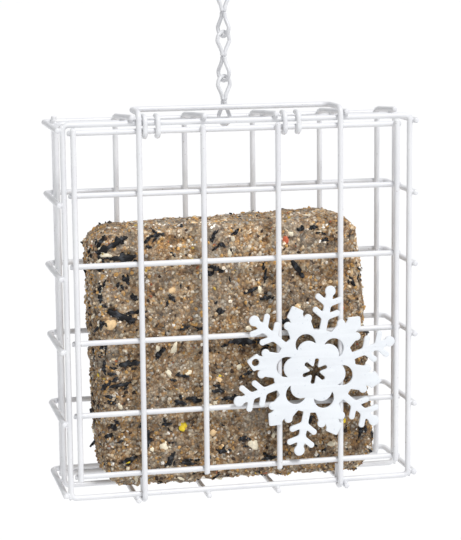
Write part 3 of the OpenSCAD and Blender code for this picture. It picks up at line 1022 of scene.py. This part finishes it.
def hulls(block, count):
    """Black hull splinters: the ones that stand out, with chips, then random ones.

    Among the placed ones on the front, the random ones are small.
    """
    surface = surface_of(block)
    _, high = span("suet_cake")
    heap, tints, grains = Heap(), [], []
    origin = np.array(CAGE)

    def lay(point, axes, length, width):
        verts, faces, grain = hull_shape(length, width)
        verts[:, 2] -= 0.22 * width + 0.1
        heap.add(verts @ axes + (point - origin) / MM, faces)
        tone = 0.006 + 0.010 * rng.random()
        tints.append(np.tile((tone, tone, tone * 1.15), (len(verts), 1)))
        grains.append(grain + rng.random(3) * 20)

    for x, z, length, width, lean in FRONT_HULLS:
        length, width, lean = HULL_GROWTH * length, HULL_GROWTH * width, math.radians(lean)
        along = np.array((math.cos(lean), 0, math.sin(lean)))
        out = np.array((0.0, -1.0, 0.0)) + (rng.random(3) - 0.5) * 0.35
        out -= along * (out @ along)
        out /= np.linalg.norm(out)
        aside = np.cross(out, along)
        lay(on_front(surface, x, z, HULLS_PROUD), np.stack([along, aside, out]), length, width)
        for _ in range(rng.integers(1, 4)):
            reach = rng.normal(scale=(0.32 * length, 0.75 * width))
            off = along * reach[0] + aside * reach[1]
            spot = on_front(surface, x + off[0], z + off[2], HULLS_PROUD)
            chip = np.array(Matrix.Rotation(rng.normal(scale=0.5), 3, "Y")) @ along
            axes = np.stack([chip, np.cross(out, chip), out])
            lay(spot, axes, 1.2 + 2.2 * rng.random(), 0.7 + 0.7 * rng.random())
    points, normals = surface_samples(block, count, 2.2)
    tilt = normals + rng.normal(scale=0.25, size=normals.shape)
    tilt /= np.linalg.norm(tilt, axis=1)[:, None]
    for point, normal, axes in zip(points, normals, turned(tilt)):
        small = normal[1] < -0.8 and abs(point[0] / MM) < FRONT_REACH
        length = 1.2 + 1.6 * rng.random() if small else 1.8 + 4.5 * rng.random() ** 1.5
        width = 0.8 + (0.5 if small else 1.3) * rng.random()
        deeper = normal * top_share((point[2] - CAGE.z) / MM, high) * MM
        lay(point - deeper, axes, length, width)
    piece = heap.build("suet_hulls", HULLS)
    paint(piece, "tint", np.vstack(tints))
    paint(piece, "grain", np.vstack(grains))
    return piece


# ---------------------------------------------------------------- assembly
LINKS = {f"link_{i}": f"chain_link_{i}" for i in (1, 2, 3)}
REPLACED = {"suet_cake", "snowflake", "hanging_hook", *LINKS.values()}
CRUMB_COUNT, KERNEL_COUNT, HULL_COUNT = 11000, 150, 420


def coat_cad_wires():
    """The CAD wires keep their shape and get the coated finish."""
    for name, node in NODES.items():
        if name not in REPLACED:
            for slot in node.material_slots:
                slot.material = WIRE_COAT


coat_cad_wires()
place(cage_welds(), "cage", "coated_wire")
place(cage_ends(), "cage", "coated_wire")
place(door_welds(), "door", "coated_wire")
place(door_ends(), "door", "coated_wire")
place(snowflake(), "door", "sheet_metal", "snowflake")
for body, node in LINKS.items():
    place(chain_link(node), body, "chain_wire", node)
place(hanging_hook(), "hook", "chain_wire", "hanging_hook")
block = suet_block()
place(block, "suet", "suet", "suet_cake")
place(crumbs(block, CRUMB_COUNT), "suet", "suet")
place(kernels(block, KERNEL_COUNT), "suet", "suet")
place(hulls(block, HULL_COUNT), "suet", "suet")


# ---------------------------------------------------------------- the stage
FLOOR_SIZE, FLOOR_BELOW = 60.0, 0.55  # in metres; below the CAD box
FLOOR_TONES = [(0.3, (0.93, 0.93, 0.93)), (0.7, (0.95, 0.95, 0.95))]

# The light's strength from x = -1, at the left, to x = 0.6 of the sky, and its colour
SKY_FROM_X, SKY_TO_X, SKY_LEFT, SKY_RIGHT = -1, 0.6, 0.32, 0.76
SKY_COLOUR = (0.98, 0.985, 1.0, 1)
BACKDROP_COLOUR, BACKDROP_STRENGTH = (1, 1, 1, 1), 1.0

# The camera as solved from the photo: angles in degrees, the lens and the sensor's
# width in millimetres, and its place in the cage's millimetres
CAMERA_YAW, CAMERA_PITCH, CAMERA_ROLL = 12.58, 9.54, -0.57
CAMERA_LENS, CAMERA_SENSOR = 148.6, 36
CAMERA_AT = (-150.0, -655.2, 192.3)
CAMERA_REACH = 200  # in metres


def floor():
    """A plain pale floor well below the hanging feeder."""
    height = cad_box[0][2] - FLOOR_BELOW
    bpy.ops.mesh.primitive_plane_add(size=FLOOR_SIZE, location=(0, 0, height))
    plane = bpy.context.object
    plane.name = "floor"
    material, tree, shader, add = new_material("floor_paper")
    where = add("ShaderNodeTexCoord").outputs["Object"]
    soft = ramp(add, noisy(add, where, 3, 2), FLOOR_TONES)
    tree.links.new(soft, shader.inputs["Base Color"])
    shader.inputs["Roughness"].default_value = 0.95
    shader.inputs["Specular IOR Level"].default_value = 0.1
    plane.data.materials.append(material)


def sun(name, strength, spread, azimuth, elevation):
    """A soft sun shining from an azimuth, 0 in front and 90 to the right."""
    light = bpy.data.lights.new(name, "SUN")
    light.energy = strength
    light.angle = math.radians(spread)
    lamp = bpy.data.objects.new(name, light)
    bpy.context.collection.objects.link(lamp)
    a, e = math.radians(azimuth), math.radians(elevation)
    towards = Vector((math.sin(a) * math.cos(e), -math.cos(a) * math.cos(e), math.sin(e)))
    lamp.rotation_euler = towards.to_track_quat("Z", "Y").to_euler()


def lights():
    """A soft sky, brighter at the right, that shows as plain white, and a sun."""
    world = bpy.data.worlds.new("studio")
    bpy.context.scene.world = world
    world.use_nodes = True
    tree = world.node_tree
    add = adder(tree)
    where = add("ShaderNodeTexCoord").outputs["Generated"]
    axes = add("ShaderNodeSeparateXYZ", {"Vector": where})
    across = add(
        "ShaderNodeMapRange", {"Value": axes.outputs["X"]},
        From_Min=SKY_FROM_X, From_Max=SKY_TO_X, To_Min=SKY_LEFT, To_Max=SKY_RIGHT,
    )
    sky = tree.nodes["Background"]
    sky.inputs["Color"].default_value = SKY_COLOUR
    tree.links.new(across.outputs["Result"], sky.inputs["Strength"])
    backdrop = add(
        "ShaderNodeBackground", Color=BACKDROP_COLOUR, Strength=BACKDROP_STRENGTH
    )
    seen = add("ShaderNodeLightPath").outputs["Is Camera Ray"]
    either = add("ShaderNodeMixShader", {
        "Fac": seen, 1: sky.outputs["Background"], 2: backdrop.outputs["Background"],
    })
    tree.links.new(either.outputs["Shader"], tree.nodes["World Output"].inputs["Surface"])
    sun("key", 2.0, 16, 18, 54)
    bpy.context.scene.view_settings.view_transform = "Standard"


def camera():
    """The camera, at the photographed viewing angle and distance."""
    yaw, pitch, roll = map(math.radians, (CAMERA_YAW, CAMERA_PITCH, CAMERA_ROLL))
    ahead = math.cos(pitch)
    look = Vector((math.sin(yaw) * ahead, math.cos(yaw) * ahead, -math.sin(pitch)))
    level = Vector((math.cos(yaw), -math.sin(yaw), 0))
    up = level.cross(look)
    right = math.cos(roll) * level + math.sin(roll) * up
    upright = -math.sin(roll) * level + math.cos(roll) * up
    data = bpy.data.cameras.new("camera")
    data.sensor_fit = "HORIZONTAL"
    data.sensor_width = CAMERA_SENSOR
    data.lens = CAMERA_LENS
    data.clip_end = CAMERA_REACH
    shot = bpy.data.objects.new("camera", data)
    bpy.context.collection.objects.link(shot)
    turn = Matrix((right, upright, -look)).transposed().to_4x4()
    shot.matrix_world = Matrix.Translation(at(*CAMERA_AT)) @ turn
    bpy.context.scene.camera = shot


floor()
lights()
camera()
